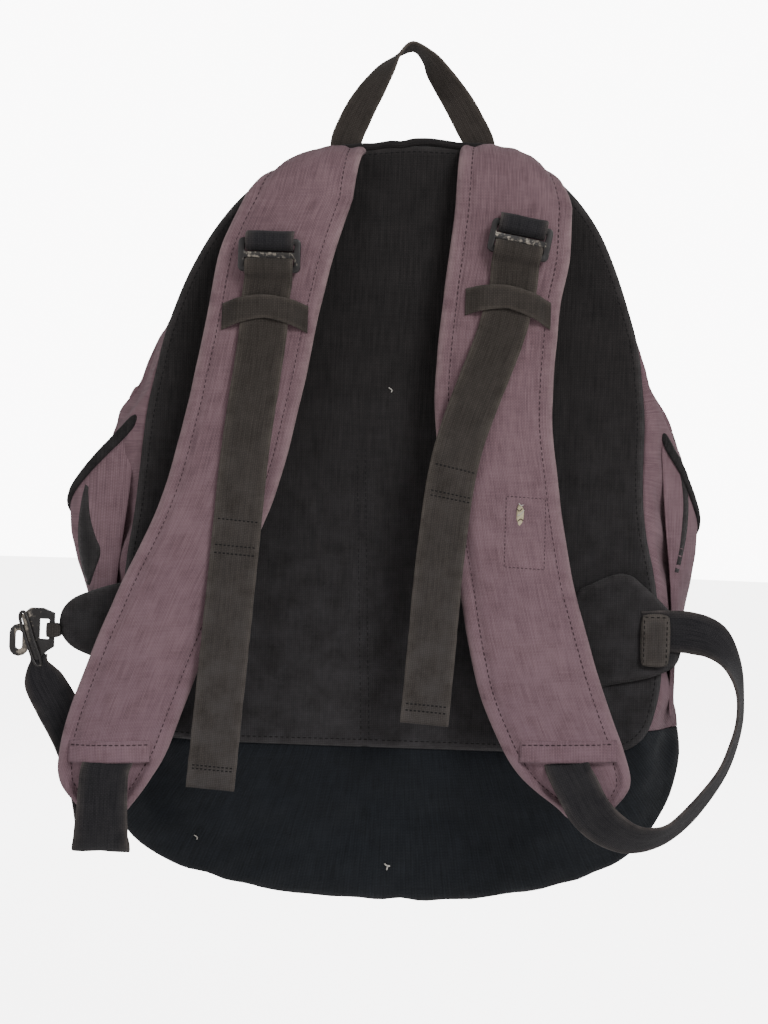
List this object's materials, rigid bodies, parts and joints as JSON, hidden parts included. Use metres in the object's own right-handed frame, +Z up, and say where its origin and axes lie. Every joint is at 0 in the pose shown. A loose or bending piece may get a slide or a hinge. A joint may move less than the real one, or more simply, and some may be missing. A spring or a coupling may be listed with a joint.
{
  "type": "daypack",
  "caption": "Empty hiking daypack hung by its grab handle, harness side forward, with padded straps, webbing tails, wings, side pockets and a panel-loading main zip.",
  "frame": {"origin": "inside of the grab handle's top, where it rests on a hook", "axes": "+Z up, -Y out of the harness side towards the wearer, +X to the right of someone who looks at the harness side"},
  "size_m": [0.4851, 0.1623, 0.563],
  "materials": {
    "canvas": "mauve washed canvas",
    "black_cloth": "black pack cloth, dull",
    "base_cloth": "blue-black coated cloth",
    "webbing": "dark olive-brown woven webbing",
    "foam": "closed-cell foam",
    "metal": "dark paint worn to bare metal at the edges",
    "zip": "nylon coil"
  },
  "bodies": {
    "handle": {"grab_handle": "webbing"},
    "bag": {"back_panel": "black_cloth", "back_foam": "foam", "side_panel_left": "canvas", "side_panel_right": "canvas", "base_panel": "base_cloth", "main_zip_rear": "zip", "side_pocket_left": "canvas", "side_pocket_right": "canvas", "pocket_binding_left": "black_cloth", "pocket_binding_right": "black_cloth", "wing_left": "black_cloth", "wing_right": "black_cloth", "wing_tab_left": "webbing", "wing_sleeve_right": "webbing", "lower_webbing_left": "webbing", "lower_webbing_right": "webbing"},
    "front_lid": {"front_panel": "canvas", "main_zip_front": "zip", "front_pocket": "canvas", "pocket_zip": "zip"},
    "zip_slider_left": {"zip_slider_left": "metal"},
    "zip_pull_left": {"zip_pull_left": "metal"},
    "zip_slider_right": {"zip_slider_right": "metal"},
    "zip_pull_right": {"zip_pull_right": "metal"},
    "pocket_slider": {"pocket_slider": "metal"},
    "pocket_pull": {"pocket_pull": "metal"},
    "side_buckle": {"side_buckle_frame": "metal", "side_buckle_ring": "metal"},
    "strap_left": {"strap_face_left": "canvas", "strap_foam_left": "foam", "strap_lining_left": "black_cloth", "inner_webbing_left": "webbing", "buckle_anchor_left": "webbing", "tail_top_left": "webbing", "keeper_left": "black_cloth", "lower_stub_left": "webbing"},
    "buckle_left": {"ladder_buckle_left": "metal", "buckle_roll_left": "webbing"},
    "tail_left": {"tail_left": "webbing"},
    "strap_right": {"strap_face_right": "canvas", "strap_foam_right": "foam", "strap_lining_right": "black_cloth", "inner_webbing_right": "webbing", "buckle_anchor_right": "webbing", "tail_top_right": "webbing", "keeper_right": "black_cloth", "lower_stub_right": "webbing"},
    "buckle_right": {"ladder_buckle_right": "metal", "buckle_roll_right": "webbing"},
    "tail_right": {"tail_right": "webbing"}
  },
  "joints": [
    {"name": "bag_swing", "type": "hinge", "parent": "handle", "child": "bag", "pos_m": [0, 0.004, -0.064], "axis": [1, 0, 0], "range_deg": [-35, 35]},
    {"name": "lid_open", "type": "hinge", "parent": "bag", "child": "front_lid", "pos_m": [0, 0.0995, -0.4368], "axis": [-1, 0, 0], "range_deg": [0, 75]},
    {"name": "zip_left_slide", "type": "hinge", "parent": "bag", "child": "zip_slider_left", "pos_m": [0, 0.0456, -0.24], "axis": [0, -0.994, -0.1093], "range_deg": [0, 86]},
    {"name": "zip_left_pull", "type": "hinge", "parent": "zip_slider_left", "child": "zip_pull_left", "pos_m": [-0.01715, 0.0274, -0.07452], "axis": [0, 0.994, 0.1093], "range_deg": [0, 80]},
    {"name": "zip_right_slide", "type": "hinge", "parent": "bag", "child": "zip_slider_right", "pos_m": [0, 0.0456, -0.24], "axis": [0, 0.994, 0.1093], "range_deg": [0, 86]},
    {"name": "zip_right_pull", "type": "hinge", "parent": "zip_slider_right", "child": "zip_pull_right", "pos_m": [0.01715, 0.0274, -0.07452], "axis": [0, -0.994, -0.1093], "range_deg": [0, 80]},
    {"name": "pocket_zip_slide", "type": "slide", "parent": "front_lid", "child": "pocket_slider", "axis": [1, 0, 0], "range_m": [0, 0.148]},
    {"name": "pocket_zip_pull", "type": "hinge", "parent": "pocket_slider", "child": "pocket_pull", "pos_m": [-0.074, 0.10663, -0.32464], "axis": [1, 0, 0], "range_deg": [0, 90]},
    {"name": "side_buckle_swing", "type": "hinge", "parent": "bag", "child": "side_buckle", "pos_m": [-0.2195, -0.0036, -0.384], "axis": [0, 0, 1], "range_deg": [-40, 40]},
    {"name": "strap_left_swing", "type": "hinge", "parent": "bag", "child": "strap_left", "pos_m": [0, -0.005, -0.068], "axis": [-1, 0, 0], "range_deg": [0, 25]},
    {"name": "buckle_left_tilt", "type": "hinge", "parent": "strap_left", "child": "buckle_left", "pos_m": [-0.0855, -0.03448, -0.134], "axis": [-1, 0, 0], "range_deg": [0, 35]},
    {"name": "tail_left_swing", "type": "hinge", "parent": "strap_left", "child": "tail_left", "pos_m": [-0.0885, -0.0345, -0.1995], "axis": [-0.9933, 0, 0.1153], "range_deg": [0, 80]},
    {"name": "strap_right_swing", "type": "hinge", "parent": "bag", "child": "strap_right", "pos_m": [0, -0.005, -0.068], "axis": [-1, 0, 0], "range_deg": [0, 25]},
    {"name": "buckle_right_tilt", "type": "hinge", "parent": "strap_right", "child": "buckle_right", "pos_m": [0.0725, -0.03317, -0.119], "axis": [-0.9848, 0, 0.1736], "range_deg": [0, 35]},
    {"name": "tail_right_swing", "type": "hinge", "parent": "strap_right", "child": "tail_right", "pos_m": [0.0595, -0.0345, -0.1915], "axis": [-0.9455, 0, 0.3256], "range_deg": [0, 80]}
  ]
}
